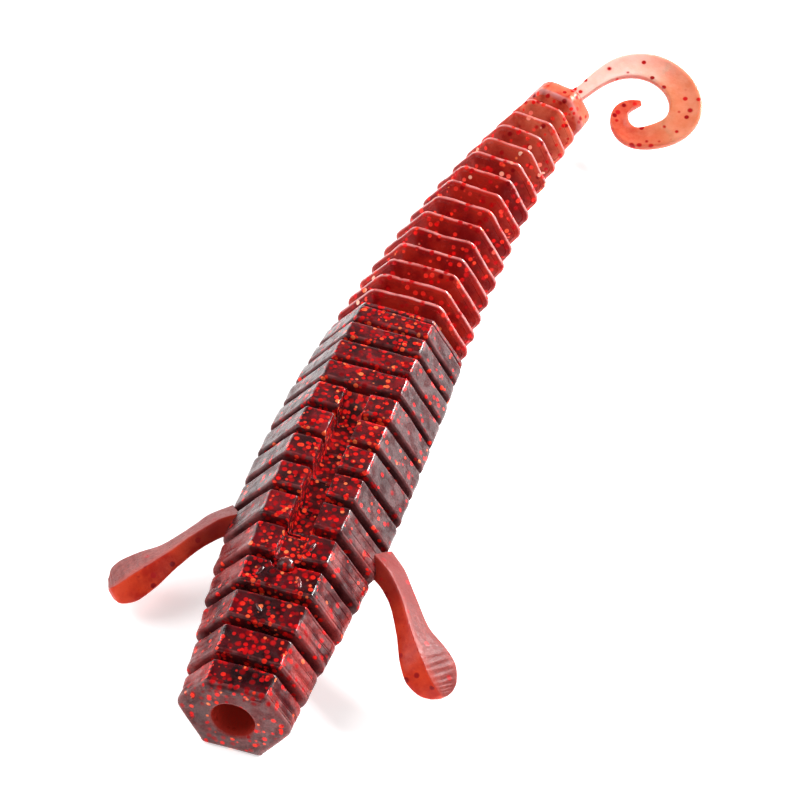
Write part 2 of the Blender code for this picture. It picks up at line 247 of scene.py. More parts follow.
def rounded_corner(before, here, after, radius, steps):
    """Arc that replaces a corner, from the side before it to the side after it."""
    side_in = (here - before).normalized()
    side_out = (after - here).normalized()
    turn = math.acos(max(-1.0, min(1.0, side_in.dot(side_out))))
    reach = radius * math.tan(turn / 2)
    normal_in = Vector((-side_in.y, side_in.x))
    centre = here - side_in * reach + normal_in * radius
    start = math.atan2(-normal_in.y, -normal_in.x)
    arc = []
    for k in range(steps + 1):
        angle = start + turn * k / steps
        arc.append(centre + radius * Vector((math.cos(angle), math.sin(angle))))
    return arc


def section(width, height, inset, ridge, opening=(1.0, 0.0)):
    """Closed ring of (x, z) points with round corners and, where it is open, the hook slot."""
    corners = hexagon(width, height, inset)
    arcs = []
    for k in range(6):
        radius, steps = ridge, RIDGE_STEPS
        if k in (0, 3):
            radius = LATERAL_ROUND * max(LATERAL_ROUND_LEAST, 1 - inset / LATERAL_ROUND_INSET)
            steps = LATERAL_STEPS
        after = corners[(k + 1) % 6]
        arcs.append(rounded_corner(corners[k - 1], corners[k], after, radius, steps))
    ring = []
    for k in range(6):
        here, after = arcs[k], arcs[(k + 1) % 6]
        ring.extend(here)
        if k == 1:
            ring.extend(slot_points(here[-1], *opening))
        else:
            for share in SIDE_SHARES:
                ring.append(here[-1].lerp(after[0], share))
    return ring


def slot_points(right, half, depth):
    """Points across the back, down into the slot and out again."""
    edge = min(SLOT_EDGE, depth * 0.4)
    beside = half + SLOT_EDGE
    shape = [(right.x * share + beside * (1 - share), 0.0) for share in BESIDE_SHARES]
    shape += [
        (half + 0.3 * SLOT_EDGE, -0.3 * edge),
        (half, -edge),
        (0.97 * half, -0.6 * depth),
        (0.94 * half, -depth + edge),
    ]
    shape += [(share * half, -depth) for share in FLOOR_SHARES]
    points = [Vector((x, right.y + drop)) for x, drop in shape]
    mirrored = [Vector((-x, right.y + drop)) for x, drop in reversed(shape)]
    return points + mirrored


# Which points of a ring are on the back, on the belly and in the slot, told from a plain ring.
SAMPLE_HEIGHT = 8.0
SAMPLE_MARGIN = 0.3
SAMPLE = section(10.0, SAMPLE_HEIGHT, 0.0, RIB_RIDGE_ROUND)
ON_BACK = np.array([float(point.y > SAMPLE_HEIGHT - SAMPLE_MARGIN) for point in SAMPLE])
ON_BELLY = np.array([float(point.y < SAMPLE_MARGIN) for point in SAMPLE])
IN_SLOT = ON_BACK * np.array([float(abs(point.x) <= SLOT_HALF_WIDTH) for point in SAMPLE])


def fade(value, low, high):
    """0 below low, 1 above high and smooth between; low may be the larger one."""
    t = min(1.0, max(0.0, (value - low) / (high - low)))
    return t * t * (3 - 2 * t)


def recess_end():
    """Place along the body of the middle of the recess's round end."""
    front = SEGMENTS[RECESS_FRONT]
    return (front.front[1] + front.length + SEGMENTS[RECESS_REAR].front[1]) / 2


def slot_at(y):
    """Half the width and the depth of the slot and its recess at a place along the body."""
    first = SEGMENTS[SLOT_FIRST].front[1] - SLOT_AHEAD
    last = SEGMENTS[SLOT_LAST].front[1] + SEGMENTS[SLOT_LAST].length + SLOT_BEHIND
    sunk = min(1.0, max(0.0, (y - first) / SLOT_SINK))
    left = min(1.0, max(0.0, (last - y) / SLOT_RISE))
    end = recess_end()
    ahead = max(0.0, end - y)
    if ahead >= RECESS_RADIUS:
        return SLOT_HALF_WIDTH, 0.0
    half = math.sqrt(RECESS_RADIUS**2 - ahead**2)
    half += (SLOT_HALF_WIDTH - half) * fade(y, end, end + RECESS_RADIUS)
    depth = RECESS_DEPTH * min(1.0, half / RECESS_SHALLOW_HALF)
    return half, (depth + (SLOT_DEPTH - depth) * sunk) * left


# ---------------------------------------------------------------- building meshes

class Skin:
    """Rings of points with the values that the surfaces read at each point."""

    def __init__(self, *names):
        self.rings = []
        self.values = {name: [] for name in names}

    def add(self, points, **values):
        self.rings.append(points)
        for name, rows in self.values.items():
            rows.append(np.broadcast_to(values.get(name, 0.0), len(points)))

    def cut(self, segment, s, inset, line=0.0, **values):
        """Add the segment's section at s, with the flake density of its back and slot."""
        y = (segment.front + segment.along * s)[1]
        dense = ON_BACK + IN_SLOT * min(1.0, slot_at(y)[1])
        self.add(ring_at(segment, s, inset, line), dense=dense, **values)


def build(name, skin, surface, sharp=SHARP_ANGLE):
    """Closed mesh through the skin's rings, in metres."""
    size = len(skin.rings[0])
    points = [point for ring in skin.rings for point in ring]
    faces = []
    for k in range(len(skin.rings) - 1):
        for j in range(size):
            here = k * size + j
            beside = k * size + (j + 1) % size
            faces.append((here, beside, beside + size, here + size))
    faces.append(tuple(range(size)))
    last = (len(skin.rings) - 1) * size
    faces.append(tuple(range(last, last + size)))
    mesh = bpy.data.meshes.new(name)
    mesh.from_pydata([tuple(point * MM) for point in points], [], faces)
    for label, rows in skin.values.items():
        layer = mesh.attributes.new(label, "FLOAT", "POINT")
        layer.data.foreach_set("value", np.concatenate(rows).astype(np.float32))
    rest = mesh.attributes.new("rest", "FLOAT_VECTOR", "POINT")
    rest.data.foreach_set("vector", np.array([tuple(p) for p in points], np.float32).ravel())
    bm = bmesh.new()
    bm.from_mesh(mesh)
    bmesh.ops.recalc_face_normals(bm, faces=bm.faces)
    bm.to_mesh(mesh)
    bm.free()
    mesh.shade_smooth()
    mesh.set_sharp_from_angle(angle=math.radians(sharp))
    mesh.materials.append(surface)
    made = bpy.data.objects.new(name, mesh)
    bpy.context.scene.collection.objects.link(made)
    return made


def ring_at(segment, s, inset, line=0.0):
    """Section ring of the segment's body at s behind its front face.

    line sinks only the sides of the section, for a mould line.
    """
    after = NEXT.get(segment.node)
    width, height = segment.width, segment.height
    if after is not None:
        gap = float(np.linalg.norm((after.front - segment.front)[:2]))
        share = min(1.0, max(0.0, (s - segment.length / 2) / gap))
        width += share * (after.width - width)
        height += share * (after.height - height)
    ridge = RIB_RIDGE_ROUND
    if segment.node not in SMOKY:
        ridge = max(RIB_RIDGE_ROUND, FIN_RIDGE_ROUND - FIN_RIDGE_SHRINK * inset)
    centre = segment.front + segment.along * s
    half, depth = slot_at(centre[1])
    opening = (half, max(0.0, depth - inset))
    flat = section(width, height, inset, ridge, opening)
    if line > 0.0:
        sunk = section(width, height, inset + line, ridge, opening)
        weight = 1 - ON_BACK - ON_BELLY
        flat = [a.lerp(b, w) for a, b, w in zip(flat, sunk, weight)]
    skew = LINE_SKEW * line / LINE_DEPTH if line > 0.0 else 0.0
    ring = []
    for k, point in enumerate(flat):
        slide = skew * (1 - ON_BACK[k] - ON_BELLY[k]) * (0.5 - point.y / height)
        place = segment.point(s, point.x, point.y)
        slide += WAVE * noise.noise(place / WAVE_LENGTH)
        if not ON_BELLY[k]:
            outward = Vector((point.x, point.y - height / 2)).normalized()
            point = point + outward * (UNEVEN * noise.noise(place / UNEVEN_LENGTH))
        ring.append(segment.point(s + slide, point.x, point.y))
    return ring


def gap_behind(segment):
    """Distance from the segment's front face to the front face of the next one."""
    after = NEXT[segment.node]
    return float(np.dot(after.front - segment.front, segment.along))


def groove_depth(segment):
    if segment.node in SMOKY[:-1]:
        return RIB_GROOVE
    share = segment.width / SEGMENTS["rib_13"].width
    return FIN_GROOVE * (1 - FIN_GROOVE_EASE * (1 - share))


def add_front_edge(skin, segment, edge):
    for k in range(EDGE_STEPS + 1):
        angle = math.pi / 2 * k / EDGE_STEPS
        s = edge * (1 - math.cos(angle))
        # rim paints a highlight along the rounded edge, strongest where it meets the outside.
        skin.cut(segment, s, edge * (1 - math.sin(angle)), rim=0.3 + 0.7 * math.sin(angle))


def add_rear_edge(skin, segment, edge):
    for k in range(EDGE_STEPS + 1):
        angle = math.pi / 2 * k / EDGE_STEPS
        s = segment.length - edge + edge * math.sin(angle)
        skin.cut(segment, s, edge * (1 - math.cos(angle)), rim=REAR_EDGE_HIGHLIGHT)


def add_outside(skin, segment, edge):
    """Outer surface between the two edges, with mould lines or finer steps where it has them."""
    length = segment.length
    stops = []
    if segment.node in LINED:
        for k, share in enumerate(LINE_PLACES):
            middle = (share + LINE_SHIFT * math.sin(3 * k + segment.front[1])) * length
            for offset, line in ((-1, 0.0), (0, LINE_DEPTH), (1, 0.0)):
                stops.append((middle + offset * LINE_HALF_WIDTH, line))
    step = DETAIL_STEP if segment.node in DETAILED else PLAIN_STEP
    count = int(length / step)
    for k in range(1, count):
        s = k * length / count
        if all(abs(s - other) > step / 4 for other, line in stops):
            stops.append((s, 0.0))
    for s, line in sorted(stops):
        if edge < s < length - edge:
            # groove paints shade into the mould line.
            skin.cut(segment, s, 0.0, line, groove=2.0 * line)


def groove_profile(segment):
    """(s, inset) down behind the segment, along the core and up to the next rim."""
    start = segment.length
    end = gap_behind(segment)
    deep = groove_depth(segment)
    if segment.node not in SMOKY or segment.node == "rib_13":
        foot = start + FIN_FLOOR_SHARE * (end - start)
        rows = [(start, deep), (foot, deep)]
        for k in range(1, FIN_SLOPE_STEPS + 1):
            t = k / FIN_SLOPE_STEPS
            rows.append((foot + (end - foot) * t, deep * (1 - t) + FIN_BEVEL * t))
        return rows
    count = 4 if segment.node in DETAILED else 2
    return [(start + (end - start) * k / count, deep) for k in range(count + 1)]


def add_groove(skin, segment):
    rows = groove_profile(segment)
    deep = max(inset for s, inset in rows)
    for s, inset in rows:
        # groove paints shade down into the groove, most at its floor.
        skin.cut(segment, s, inset, groove=inset / deep)
    s, inset = rows[-1]
    skin.cut(segment, s + EMBED, inset + EMBED_INSET, groove=1.0)


def add_lip(skin, segment):
    """Thin second edge that follows the last rib."""
    start = segment.length + LIP_GAP
    skin.cut(segment, segment.length, LIP_GROOVE, groove=1.0)
    skin.cut(segment, start, LIP_GROOVE, groove=1.0)
    # rim paints a highlight along the lip's edge.
    skin.cut(segment, start, LIP_INSET + LIP_EDGE, rim=0.6)
    skin.cut(segment, start + LIP_EDGE, LIP_INSET, rim=1.0)
    skin.cut(segment, start + LIP_LENGTH, LIP_INSET, rim=0.5)


def add_fin(skin, segment):
    """Fin whose front face slopes up to a thin edge, with a pale highlight painted along the edge
    and a little painted shade low on the face.
    """
    top = segment.length - FIN_RIM
    skin.cut(segment, 0.0, FIN_BEVEL, groove=0.3)
    skin.cut(segment, top - 0.3 * FIN_EDGE, 1.2 * FIN_EDGE, groove=0.1)
    skin.cut(segment, top, 0.8 * FIN_EDGE, rim=0.2)
    skin.cut(segment, top + 0.4 * FIN_EDGE, 0.2 * FIN_EDGE, rim=1.0)
    skin.cut(segment, top + FIN_EDGE, 0.0, rim=1.0)
    skin.cut(segment, segment.length - 0.4 * FIN_EDGE, 0.0, rim=1.0)
    skin.cut(segment, segment.length, 0.6 * FIN_EDGE, rim=0.6)


def is_flexing(segment):
    after = NEXT.get(segment.node)
    return after is not None and body_of(segment.node) != body_of(after.node)


def make_segment(segment, surface, edge):
    skin = Skin("rim", "groove", "dense")
    core = groove_depth(segment) if segment.node != "tail_cap" else CAP_CORE
    end = segment.length
    skin.cut(segment, 0.0, core + CORE_INSET, groove=1.0)
    if segment.node in FINS:
        add_fin(skin, segment)
    else:
        add_front_edge(skin, segment, edge)
        add_outside(skin, segment, edge)
        add_rear_edge(skin, segment, edge)
    if segment.node == "rib_13":
        add_lip(skin, segment)
        end += LIP_GAP + LIP_LENGTH
    if segment.node == "tail_cap":
        skin.cut(segment, end, CAP_CORE)
    elif is_flexing(segment):
        skin.cut(segment, end, core + CORE_INSET, groove=1.0)
    else:
        add_groove(skin, segment)
    made = build(segment.node + "_skin", skin, surface)
    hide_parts(segment.node)


def make_sleeve(segment, surface):
    """Core in the gap between two bodies."""
    after = NEXT[segment.node]
    skin = Skin("rim", "groove", "dense")
    rows = groove_profile(segment)
    skin.cut(segment, segment.length - EMBED, rows[0][1], groove=1.0)
    add_groove(skin, segment)
    made = build(f"core_{segment.node}_to_{after.node}", skin, surface)
    start = segment.point(segment.length, 0.0, segment.height / 2) * MM
    end = segment.point(gap_behind(segment), 0.0, segment.height / 2) * MM
    body_of(segment.node)
    body_of(after.node)
    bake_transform(made)


def make_nose(surface):
    """Front plug with its blind bore, from the bore's end out to the side and back."""
    segment = SEGMENTS["nose_block"]
    skin = Skin("rim", "groove", "dense", "bore")
    centre = segment.height / 2
    outer = section(segment.width, segment.height, NOSE_EDGE, RIB_RIDGE_ROUND)
    angles = [math.atan2(point.y - centre, point.x) for point in outer]

    def circle(s, radius):
        ring = []
        for angle in angles:
            up = centre + radius * math.sin(angle)
            ring.append(segment.point(s, radius * math.cos(angle), up))
        return ring

    # bore sets how much of the painted red-brown glow each ring of the bore gets.
    skin.add(circle(BORE_DEPTH, 0.25 * BORE_RADIUS), bore=0.7)
    skin.add(circle(BORE_DEPTH, 0.9 * BORE_RADIUS), bore=0.8)
    skin.add(circle(BORE_DEPTH - BORE_END_ROUND, BORE_RADIUS), bore=1.0)
    for share in (0.6, 0.3, 0.1):
        skin.add(circle(BORE_DEPTH * share, BORE_RADIUS), bore=1.0)
    for k in range(EDGE_STEPS + 1):
        angle = math.pi / 2 * k / EDGE_STEPS
        back = BORE_EDGE * (1 - math.sin(angle))
        skin.add(circle(back, BORE_RADIUS + BORE_EDGE * (1 - math.cos(angle))), bore=0.9 - 0.3 * k)
    for inset in FACE_INSETS:
        skin.add(nose_ring(segment, outer, centre, inset), dense=0.35)
    add_front_edge(skin, segment, NOSE_EDGE)
    add_outside(skin, segment, NOSE_EDGE)
    add_rear_edge(skin, segment, RIB_EDGE)
    add_groove(skin, segment)
    skin.cut(segment, gap_behind(segment) + EMBED, NOSE_BACK_INSET, groove=1.0)
    made = build("nose_block_skin", skin, surface)
    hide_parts("nose_block")


def nose_ring(segment, outer, centre, inset):
    """Ring on the flat nose face, between the bore and the outline."""
    reach = segment.height / 2 - NOSE_EDGE
    share = max(0.0, 1 - (inset - NOSE_EDGE) / reach)
    least = (BORE_RADIUS + BORE_EDGE) * BORE_CLEARANCE
    ring = []
    for point in outer:
        away = Vector((point.x, point.y - centre))
        away = away.normalized() * max(least, away.length * share)
        ring.append(segment.point(0.0, away.x, centre + away.y))
    return ring


# ---------------------------------------------------------------- materials

class Graph:
    """Small helper for building a node tree."""

    def __init__(self, material):
        material.use_nodes = True
        self.tree = material.node_tree
        self.tree.nodes.clear()

    def node(self, kind, inputs=None, **settings):
        made = self.tree.nodes.new(kind)
        for key, value in settings.items():
            setattr(made, key, value)
        for key, value in (inputs or {}).items():
            if isinstance(value, bpy.types.NodeSocket):
                self.tree.links.new(value, made.inputs[key])
            else:
                made.inputs[key].default_value = value
        return made

    def math(self, operation, a, b=0.0, clamp=False):
        made = self.node("ShaderNodeMath", {0: a, 1: b}, operation=operation, use_clamp=clamp)
        return made.outputs[0]

    def mix(self, factor, a, b):
        made = self.node("ShaderNodeMix", data_type="RGBA")
        for socket, value in ((made.inputs[0], factor), (made.inputs[6], a), (made.inputs[7], b)):
            if isinstance(value, bpy.types.NodeSocket):
                self.tree.links.new(value, socket)
            elif isinstance(value, tuple):
                socket.default_value = (*value, 1.0)
            else:
                socket.default_value = value
        return made.outputs[2]

    def step(self, value, low, high, out_low=0.0, out_high=1.0):
        inputs = {0: value, 1: low, 2: high, 3: out_low, 4: out_high}
        made = self.node("ShaderNodeMapRange", inputs)
        made.interpolation_type = "SMOOTHSTEP"
        return made.outputs[0]

    def attribute(self, name, output="Fac"):
        return self.node("ShaderNodeAttribute", attribute_name=name).outputs[output]

    def noise(self, vector, scale, detail=3.0, roughness=0.5):
        made = self.node(
            "ShaderNodeTexNoise",
            {"Vector": vector, "Scale": scale, "Detail": detail, "Roughness": roughness},
        )
        return made.outputs[0]

    def shifted(self, vector, offset):
        made = self.node("ShaderNodeVectorMath", {0: vector, 1: offset}, operation="ADD")
        return made.outputs[0]


def speckle(g, colour, rest, layers, richness=None):
    """Lay round flakes over a colour; returns the colour and where the flakes are.

    Each layer is (cell, radius, offset, share, softness, tones): at most one flake to a cell,
    in the share of cells given for a richness of 0 and of 1, in a tone picked from the ramp.
    """
    shine = None
    for cell, radius, offset, share, softness, tones in layers:
        spots = g.node(
            "ShaderNodeTexVoronoi", {"Vector": g.shifted(rest, offset), "Scale": 1.0 / cell}
        )
        edge = radius / cell
        mask = g.step(spots.outputs["Distance"], edge * (1 + softness), edge * (1 - softness))
        pick = g.node("ShaderNodeSeparateColor", {0: spots.outputs["Color"]})
        limit = share[0]
        if richness is not None:
            inputs = {0: richness, 1: 0.0, 2: 1.0, 3: share[0], 4: share[1]}
            limit = g.node("ShaderNodeMapRange", inputs, clamp=False).outputs[0]
        kept = g.math("MULTIPLY", mask, g.math("LESS_THAN", pick.outputs[0], limit))
        ramp = g.node("ShaderNodeValToRGB", {0: pick.outputs[1]})
        for k, (place, shade) in enumerate(tones):
            element = ramp.color_ramp.elements[k] if k < 2 else ramp.color_ramp.elements.new(place)
            element.position = place
            element.color = (*shade, 1.0)
        colour = g.mix(kept, colour, ramp.outputs[0])
        shine = kept if shine is None else g.math("MAXIMUM", shine, kept)
    return colour, shine


def soft_plastic(g, colour, shine, relief, rough, scatter, reach, gloss=0.5, glow=0.0):
    """Finish the tree: glossy soft plastic of that colour, with flakes that catch the light.

    glow stands for the light that comes through the plastic from behind.
    """
    bump = g.node("ShaderNodeBump", {"Strength": 0.3, "Distance": 0.0001, "Height": relief})
    shader = g.node(
        "ShaderNodeBsdfPrincipled",
        {
            "Base Color": colour,
            "Roughness": g.step(relief, 0.3, 0.7, rough * 0.75, rough * 1.3),
            "Subsurface Weight": scatter,
            "Subsurface Radius": (1.0, 0.22, 0.14),
            "Subsurface Scale": reach * MM,
            "Specular IOR Level": gloss,
            "Emission Color": colour,
            "Emission Strength": glow,
            "Normal": bump.outputs[0],
        },
    )
    if shine is not None:
        g.tree.links.new(g.math("MULTIPLY", shine, 0.35), shader.inputs["Metallic"])
    out = g.node("ShaderNodeOutputMaterial")
    g.tree.links.new(shader.outputs[0], out.inputs[0])


# Tones of the flakes, as places on a ramp with their colours.
RED = [
    (0.0, (0.35, 0.004, 0.008)),
    (0.5, (0.85, 0.010, 0.010)),
    (0.85, (1.0, 0.05, 0.02)),
    (1.0, (1.0, 0.24, 0.08)),
]
DEEP_RED = [(0.0, (0.16, 0.002, 0.004)), (1.0, (0.62, 0.008, 0.010))]
PALE_RED = [(0.0, (0.60, 0.010, 0.010)), (0.8, (0.95, 0.05, 0.03)), (1.0, (1.0, 0.55, 0.40))]
FLECK = [(0.0, (0.22, 0.004, 0.006)), (1.0, (0.50, 0.012, 0.012))]


def smoke_gel():
    """Smoky red gel of the front half: dark swirls packed with red flake."""
    made = bpy.data.materials.new("smoke_red_gel")
    g = Graph(made)
    rest = g.attribute("rest", "Vector")
    place = g.node("ShaderNodeSeparateXYZ", {0: rest}).outputs[1]
    red_end = float(SEGMENTS["rib_03"].front[1])
    grey_start = float(SEGMENTS["rib_07"].front[1])
    rear = g.step(place, red_end, grey_start)
    dense = g.attribute("dense")
    cloud = g.step(g.noise(rest, 0.42, 4.0, 0.6), 0.38, 0.62)
    front_top = g.mix(cloud, (0.014, 0.002, 0.003), (0.085, 0.003, 0.006))
    rear_top = g.mix(cloud, (0.026, 0.005, 0.006), (0.170, 0.009, 0.012))
    # Side colours: the gel's tone, greyer than the top and at the front also lighter, to paint in
    # part the sheen that the sides catch.
    front_side_with_sheen = g.mix(cloud, (0.070, 0.008, 0.010), (0.330, 0.036, 0.034))
    rear_side_with_sheen = g.mix(cloud, (0.055, 0.018, 0.019), (0.110, 0.036, 0.037))
    grain = g.step(g.noise(rest, 6.5, 4.0, 0.75), 0.40, 0.60)
    nose = float(SEGMENTS["nose_block"].front[1])
    # Painted reflection of the floor: the nose face and the first millimetre of its sides are
    # painted a pale pinkish grey.
    face = g.step(place, nose + 1.0, nose + 0.3)
    front_side_with_sheen = g.mix(g.math("MULTIPLY", face, 0.7), front_side_with_sheen, (0.200, 0.082, 0.080))
    side = g.mix(rear, front_side_with_sheen, rear_side_with_sheen)
    grain = g.math("MULTIPLY", grain, g.step(rear, 0.0, 1.0, 0.4, 0.7))
    side = g.mix(grain, side, (0.036, 0.006, 0.008))
    top = g.mix(rear, front_top, rear_top)
    smudge = g.step(g.noise(rest, 1.3, 4.0, 0.7), 0.44, 0.60)
    top = g.mix(g.math("MULTIPLY", smudge, 0.75), top, (0.034, 0.009, 0.010))
    colour = g.mix(dense, side, top)
    # Painted shade in the grooves and mould lines, weaker on the back.
    shade = g.step(dense, 0.0, 1.0, 0.9, 0.5)
    colour = g.mix(g.math("MULTIPLY", g.attribute("groove"), shade), colour, (0.020, 0.002, 0.003))
    # Painted pinkish highlight along the rounded rims, broken up by noise.
    highlight_breaks = g.step(g.noise(rest, 1.3, 2.0), 0.35, 0.7, 0.1, 0.75)
    rim = g.math("MULTIPLY", g.attribute("rim"), highlight_breaks)
    colour = g.mix(rim, colour, (0.20, 0.050, 0.052))
    layers = [
        (0.62, 0.20, (13.1, 2.7, 5.3), (0.30, 0.90), 0.45, DEEP_RED),
        (0.60, 0.19, (3.1, 7.7, 1.3), (0.14, 0.70), 0.16, RED),
        (0.60, 0.18, (9.7, 4.1, 8.2), (0.10, 0.46), 0.16, RED),
        (0.46, 0.13, (1.9, 6.3, 4.4), (0.10, 0.50), 0.20, RED),
    ]
    colour, shine = speckle(g, colour, rest, layers, dense)
    # Painted glow: red-brown colour and emission inside the nose bore, and emission on the slot
    # floor.
    colour = g.mix(g.attribute("bore"), colour, (0.30, 0.020, 0.012))
    slot_glow = g.math("MULTIPLY", g.math("SUBTRACT", dense, 1.0, clamp=True), 0.5)
    bore_glow = g.math("MULTIPLY", g.attribute("bore"), 0.15)
    glow = g.math("ADD", slot_glow, bore_glow)
    relief = g.noise(rest, 2.0, 5.0, 0.6)
    gloss = g.step(dense, 0.0, 0.6, 0.22, 0.5)
    patches = g.step(g.noise(rest, 1.1, 3.0), 0.42, 0.58, 0.25, 1.0)
    gloss = g.math("MULTIPLY", gloss, patches)
    soft_plastic(g, colour, shine, relief, 0.19, 0.12, 1.0, gloss, glow)
    return made


def clear_gel():
    """Clear red gel of the rear half: redder at the waist, salmon at the cap."""
    made = bpy.data.materials.new("clear_red_gel")
    g = Graph(made)
    rest = g.attribute("rest", "Vector")
    place = g.node("ShaderNodeSeparateXYZ", {0: rest}).outputs[1]
    start = float(SEGMENTS["fin_01"].front[1])
    end = float(SEGMENTS["tail_cap"].front[1])
    pale = g.step(place, start + 0.55 * (end - start), end)
    cloud = g.step(g.noise(rest, 0.35, 4.0, 0.6), 0.38, 0.62)
    colour = g.mix(cloud, (0.19, 0.005, 0.005), (0.36, 0.017, 0.009))
    colour = g.mix(pale, colour, g.mix(cloud, (0.42, 0.040, 0.020), (0.60, 0.13, 0.070)))
    # Painted shade down in the grooves between the fins.
    colour = g.mix(g.math("MULTIPLY", g.attribute("groove"), 0.7), colour, (0.12, 0.003, 0.003))
    # Painted pale highlight along the fin edges and the lip, broken up by noise.
    highlight_breaks = g.step(g.noise(rest, 0.9, 3.0), 0.3, 0.7, 0.35, 1.0)
    rim = g.math("MULTIPLY", g.attribute("rim"), highlight_breaks)
    colour = g.mix(rim, colour, (0.45, 0.18, 0.175))
    layers = [
        (0.80, 0.22, (13.1, 2.7, 5.3), (0.70, 0.70), 0.4, DEEP_RED),
        (0.72, 0.20, (3.1, 7.7, 1.3), (0.62, 0.62), 0.16, PALE_RED),
        (0.74, 0.18, (7.7, 3.3, 9.1), (0.60, 0.60), 0.25, RED),
    ]
    colour, shine = speckle(g, colour, rest, layers)
    gloss = g.step(g.attribute("groove"), 0.0, 0.1, 0.3, 0.08)
    gloss = g.math("MULTIPLY", gloss, g.step(pale, 0.6, 1.0, 1.0, 0.3))
    relief = g.noise(rest, 2.0, 5.0, 0.6)
    soft_plastic(g, colour, shine, relief, 0.22, 0.25, 1.6, gloss, 0.06)
    return made


def leg_gel():
    """Orange-red gel of the legs; the upper faces are matte and painted a duller pinkish grey for
    the sheen they catch.
    """
    made = bpy.data.materials.new("leg_gel")
    g = Graph(made)
    rest = g.attribute("rest", "Vector")
    cloud = g.step(g.noise(rest, 0.5, 4.0, 0.6), 0.35, 0.65)
    colour = g.mix(cloud, (0.46, 0.018, 0.007), (0.66, 0.055, 0.018))
    streak = g.step(g.noise(rest, 4.0, 4.0, 0.7), 0.35, 0.65)
    # Painted sheen: the upper faces get a duller pinkish grey.
    upper = g.mix(cloud, (0.21, 0.026, 0.022), (0.30, 0.052, 0.042))
    upper = g.mix(g.math("MULTIPLY", streak, 0.6), upper, (0.12, 0.016, 0.015))
    colour = g.mix(g.attribute("upper"), colour, upper)
    # Painted shade near the root, where the leg runs in under the body.
    colour = g.mix(g.math("MULTIPLY", g.attribute("root"), 0.7), colour, (0.20, 0.012, 0.010))
    layers = [(1.0, 0.22, (9.0, 4.0, 2.0), (0.45, 0.45), 0.25, FLECK)]
    colour = speckle(g, colour, rest, layers)[0]
    gloss = g.step(g.attribute("upper"), 0.0, 1.0, 0.2, 0.12)
    soft_plastic(g, colour, None, g.noise(rest, 3.0, 5.0, 0.6), 0.36, 0.25, 1.2, gloss)
    return made


def tail_gel():
    """Thin peach gel of the curl, nearly clear at the stem and orange at the tip."""
    made = bpy.data.materials.new("tail_gel")
    g = Graph(made)
    rest = g.attribute("rest", "Vector")
    along = g.attribute("along")
    cloud = g.step(g.noise(rest, 0.6, 4.0, 0.6), 0.3, 0.7)
    stem = g.mix(cloud, (0.74, 0.44, 0.36), (0.78, 0.54, 0.47))
    curl = g.mix(cloud, (0.50, 0.16, 0.075), (0.56, 0.23, 0.13))
    tip = g.mix(cloud, (0.46, 0.060, 0.030), (0.60, 0.14, 0.075))
    colour = g.mix(g.step(along, 0.30, 0.50), stem, curl)
    colour = g.mix(g.step(along, 0.62, 0.82), colour, tip)
    colour = g.mix(g.math("MULTIPLY", g.attribute("edge"), 0.8), colour, (0.36, 0.060, 0.035))
    tipward = g.step(along, 0.6, 0.8)
    layers = [
        (1.1, 0.22, (5.0, 1.0, 2.0), (0.60, 0.85), 0.25, FLECK),
        (0.9, 0.24, (2.0, 7.0, 4.0), (0.05, 0.80), 0.35, FLECK),
    ]
    colour = speckle(g, colour, rest, layers, tipward)[0]
    soft_plastic(g, colour, None, g.noise(rest, 2.0, 4.0, 0.6), 0.18, 0.4, 1.6, 0.3)
    return made


# ---------------------------------------------------------------- the body

def make_body():
    smoke = smoke_gel()
    clear = clear_gel()
    make_nose(smoke)
    for node in RIBS:
        make_segment(SEGMENTS[node], smoke, RIB_EDGE)
    for node in FINS:
        make_segment(SEGMENTS[node], clear, FIN_EDGE)
    make_segment(SEGMENTS["tail_cap"], clear, CAP_EDGE)
    for node in BODY[:-1]:
        if is_flexing(SEGMENTS[node]):
            make_sleeve(SEGMENTS[node], smoke if node in RIBS[:-1] else clear)
    for node in BODY:
        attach(bpy.data.objects[node + "_skin"], body_of(node))
    make_bubble(smoke)
    make_folds(smoke)


def make_bead(name, segment, s, x, z, heading, size, surface):
    """Round bump on the back of a rib: its half length, half width and half height."""
    centre = segment.point(s, x, z)
    along = Vector((math.cos(heading), math.sin(heading), 0.0))
    beside = Vector((-along.y, along.x, 0.0))
    skin = Skin("rim", "groove", "dense")
    for k in range(BEAD_RINGS):
        angle = math.pi * (k + 0.5) / BEAD_RINGS - math.pi / 2
        ring = []
        for j in range(BEAD_CORNERS):
            turn = math.tau * j / BEAD_CORNERS
            place = along * (size[0] * math.cos(angle) * math.cos(turn))
            place += beside * (size[1] * math.cos(angle) * math.sin(turn))
            place.z = size[2] * math.sin(angle)
            ring.append(centre + place)
        # rim paints a faint highlight over the bead.
        skin.add(ring, dense=0.7, rim=0.3)
    made = build(name, skin, surface)
    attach(made, body_of(segment.node))


def make_bubble(surface):
    """Air bubble that stands up in the round end of the recess."""
    rib = SEGMENTS[RECESS_REAR]
    s = recess_end() - rib.front[1]
    make_bead("air_bubble", rib, s, 0.0, rib.height - BUBBLE_DROP, 0.0, BUBBLE_SIZE, surface)


def make_folds(surface):
    for k, (node, start, end) in enumerate(FOLDS):
        rib = SEGMENTS[node]
        span = rib.point(end[1], end[0], 0.0) - rib.point(start[1], start[0], 0.0)
        middle = (Vector(start) + Vector(end)) / 2
        heading = math.atan2(span.y, span.x)
        size = (span.length / 2, FOLD_HALF_WIDTH, FOLD_HEIGHT)
        name = f"fold_{k + 1}"
        make_bead(name, rib, middle.y, middle.x, rib.height, heading, size, surface)


# ---------------------------------------------------------------- legs and tail

# Legs: rings to each station, and the lines across the paddle with their spacing in rings.
LEG_STEPS = 12
LEG_CORNER_STEPS = 4
LEG_SHARP_ANGLE = 50.0
LEG_RIDGE = -0.18
LEG_LINE_STEPS = 5
LEG_LINE_DEPTH = 0.07
